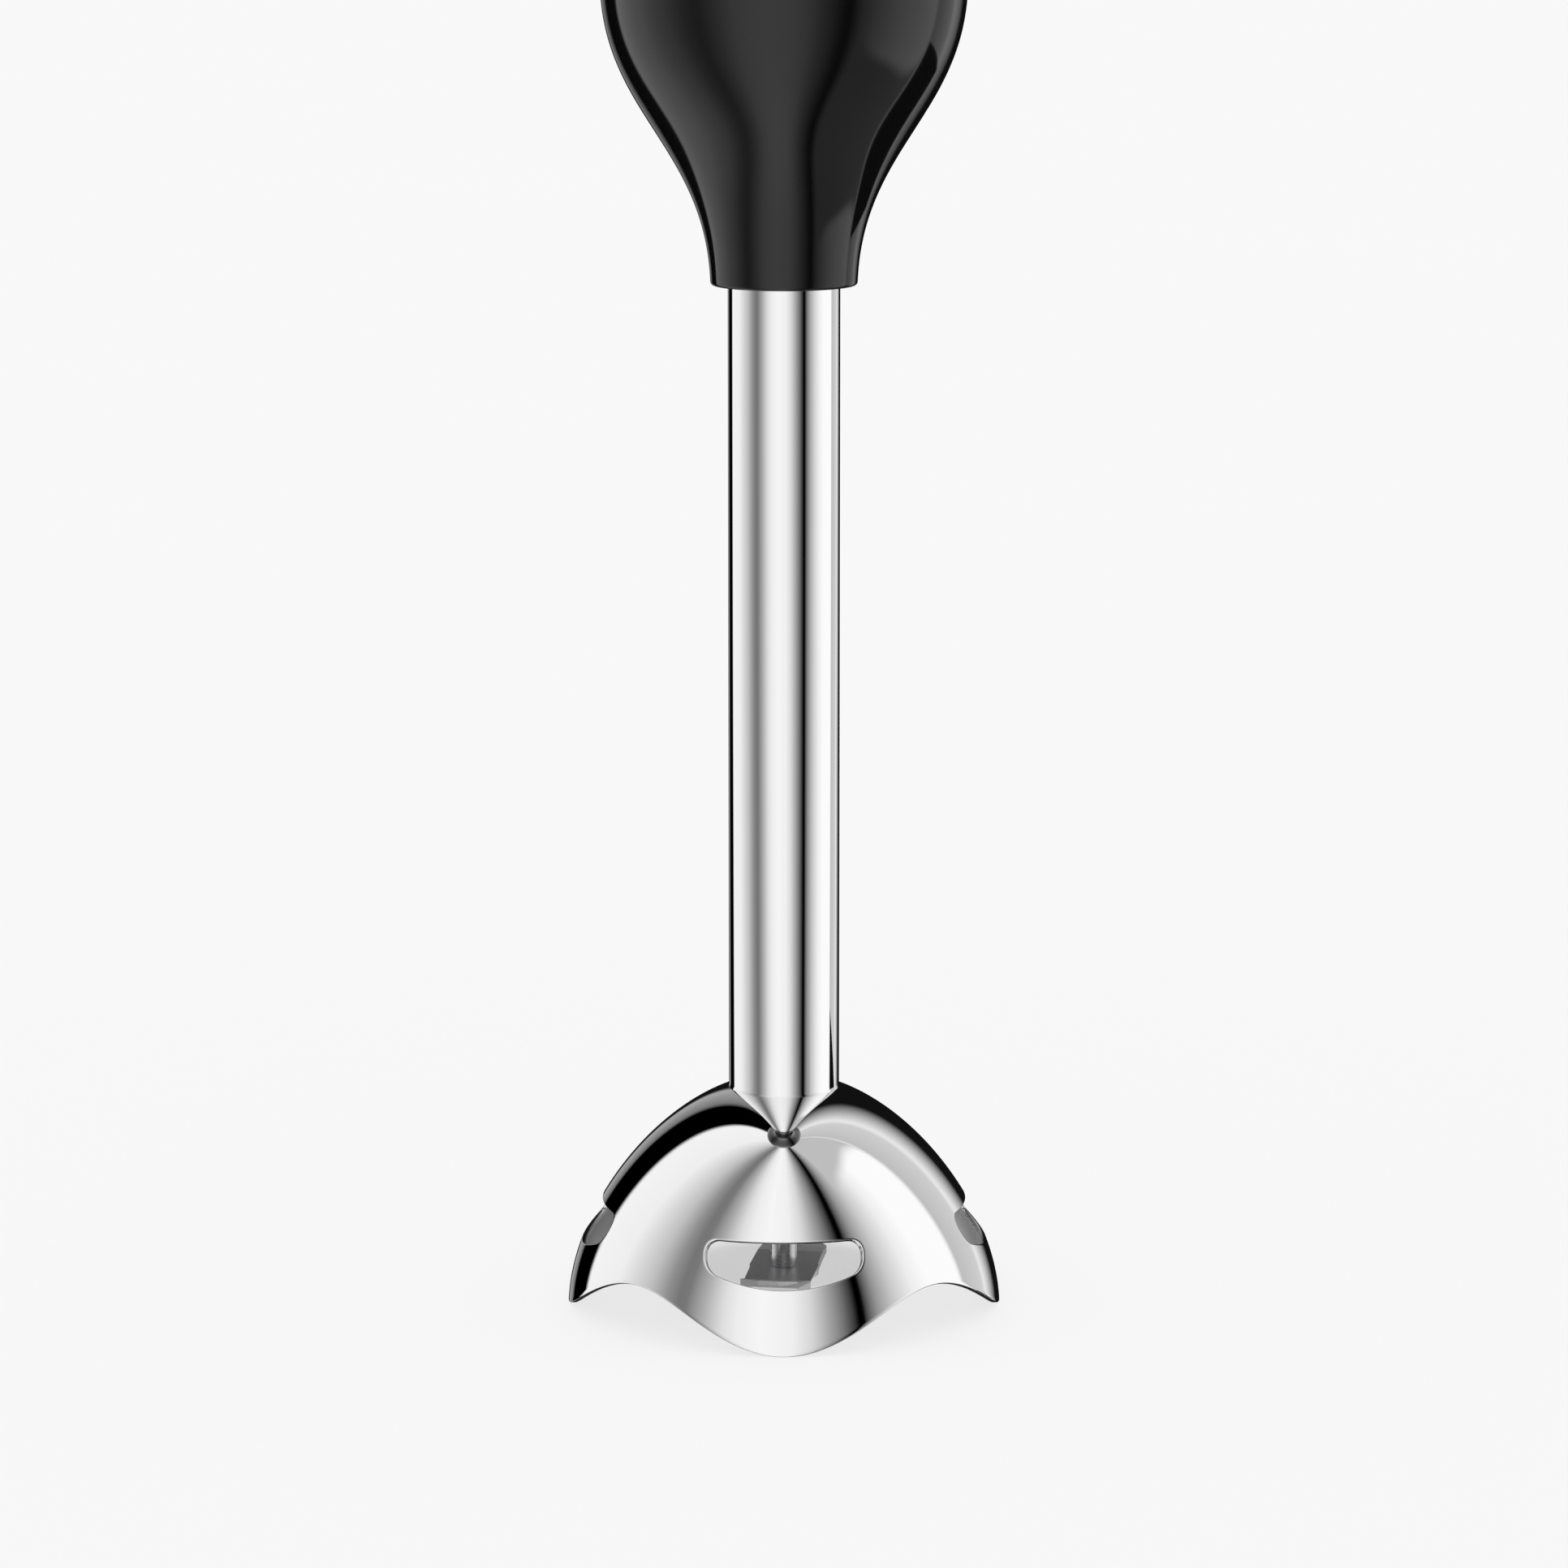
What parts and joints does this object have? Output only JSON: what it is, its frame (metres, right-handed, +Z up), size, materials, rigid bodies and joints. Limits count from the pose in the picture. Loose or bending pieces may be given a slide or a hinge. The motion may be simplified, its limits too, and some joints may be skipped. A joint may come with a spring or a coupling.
{
  "type": "immersion blender",
  "caption": "Upright hand-held immersion blender: black motor handle, slim polished steel shaft, and a domed steel blade guard with windows and a wavy rim.",
  "frame": {"origin": "on the shaft's axis, in the plane of the four tips the blade guard stands on", "axes": "+Z up the shaft towards the cord inlet, -Y the front with the on and turbo buttons, +X to the right seen from the front"},
  "size_m": [0.065, 0.065, 0.413],
  "materials": {
    "polished_steel": "mirror-polished stainless steel",
    "steel": "machined",
    "blade_steel": "ground, satin",
    "trim_steel": "polished",
    "bronze": "sintered",
    "brass_parts": "pressed",
    "copper": "enamelled copper",
    "laminations": "stacked sheet steel, oiled",
    "black_plastic": "high gloss",
    "button_plastic": "satin",
    "grey_plastic": "moulded, matte",
    "white_plastic": "moulded, matte",
    "black_rubber": "fine matte",
    "carbon": "pressed",
    "board": "phenolic board",
    "capacitor": "dipped",
    "heat_sink_metal": "extruded"
  },
  "bodies": {
    "motor_unit": {"motor_spigot": "grey_plastic", "trim_ring": "trim_steel", "housing_front": "black_plastic", "housing_rear": "black_plastic", "housing_screws": "steel", "field_core": "laminations", "field_coils": "copper", "brush_bracket": "grey_plastic", "brush_holders": "brass_parts", "carbon_brushes": "carbon", "brush_springs": "steel", "motor_bolts": "steel", "motor_bearings": "steel", "damper_ring": "black_rubber", "circuit_board": "board", "micro_switches": "grey_plastic", "film_capacitor": "capacitor", "triac": "carbon", "heat_sink": "heat_sink_metal", "choke_coil": "copper", "speed_potentiometer": "board", "top_cap": "black_plastic", "crown_cap": "black_plastic", "cord_gland": "black_rubber", "front_grip": "black_rubber", "rear_grip": "black_rubber", "latch_springs": "steel", "button_springs": "steel"},
    "foot": {"bell_guard": "polished_steel", "shaft_tube": "polished_steel", "bearing_housing": "steel", "lower_bush": "bronze", "shaft_seal": "black_rubber", "seal_cover": "steel", "mid_guide": "white_plastic", "collar": "black_plastic", "coupling_cup": "grey_plastic", "tube_o_ring": "black_rubber", "tube_clip": "steel", "cup_screws": "steel", "foot_bearing": "steel"},
    "blade_drive": {"drive_shaft": "steel", "blade": "blade_steel", "blade_nut": "steel", "driven_coupling": "white_plastic", "shaft_clip": "steel", "foot_bearing_race": "steel"},
    "rotor": {"motor_shaft": "steel", "armature_core": "laminations", "armature_windings": "copper", "commutator": "copper", "fan": "white_plastic", "drive_hub": "steel", "rotor_races": "steel"},
    "on_button": {"on_button": "button_plastic"},
    "turbo_button": {"turbo_button": "button_plastic"},
    "release_button_left": {"release_button_left": "button_plastic"},
    "release_button_right": {"release_button_right": "button_plastic"},
    "speed_control": {"speed_dial": "black_plastic", "dial_wiper": "brass_parts"}
  },
  "joints": [
    {"name": "foot_slide", "type": "slide", "parent": "motor_unit", "child": "foot", "axis": [0, 0, -1], "range_m": [0, 0.045], "deforming": ["latch_springs"]},
    {"name": "motor_spin", "type": "hinge", "parent": "motor_unit", "child": "rotor", "pos_m": [0, 0, 0.25], "axis": [0, 0, 1], "continuous": true},
    {"name": "blade_spin", "type": "hinge", "parent": "foot", "child": "blade_drive", "pos_m": [0, 0, 0.1], "axis": [0, 0, 1], "continuous": true},
    {"name": "on_button_press", "type": "slide", "parent": "motor_unit", "child": "on_button", "axis": [0, 1, 0], "range_m": [0, 0.002], "stiffness_N_per_m": 500, "deforming": ["button_springs"]},
    {"name": "turbo_button_press", "type": "slide", "parent": "motor_unit", "child": "turbo_button", "axis": [0, 1, 0], "range_m": [0, 0.002], "stiffness_N_per_m": 500, "deforming": ["button_springs"]},
    {"name": "release_left_press", "type": "slide", "parent": "motor_unit", "child": "release_button_left", "axis": [1, 0, 0], "range_m": [0, 0.0025], "stiffness_N_per_m": 800, "deforming": ["latch_springs"]},
    {"name": "release_right_press", "type": "slide", "parent": "motor_unit", "child": "release_button_right", "axis": [-1, 0, 0], "range_m": [0, 0.0025], "stiffness_N_per_m": 800, "deforming": ["latch_springs"]},
    {"name": "speed_dial_turn", "type": "hinge", "parent": "motor_unit", "child": "speed_control", "pos_m": [0, 0, 0.4], "axis": [0, 0, 1], "range_deg": [0, 240]}
  ],
  "couplings": [
    {"joint": "blade_spin", "follows": "motor_spin", "ratio": 1}
  ]
}
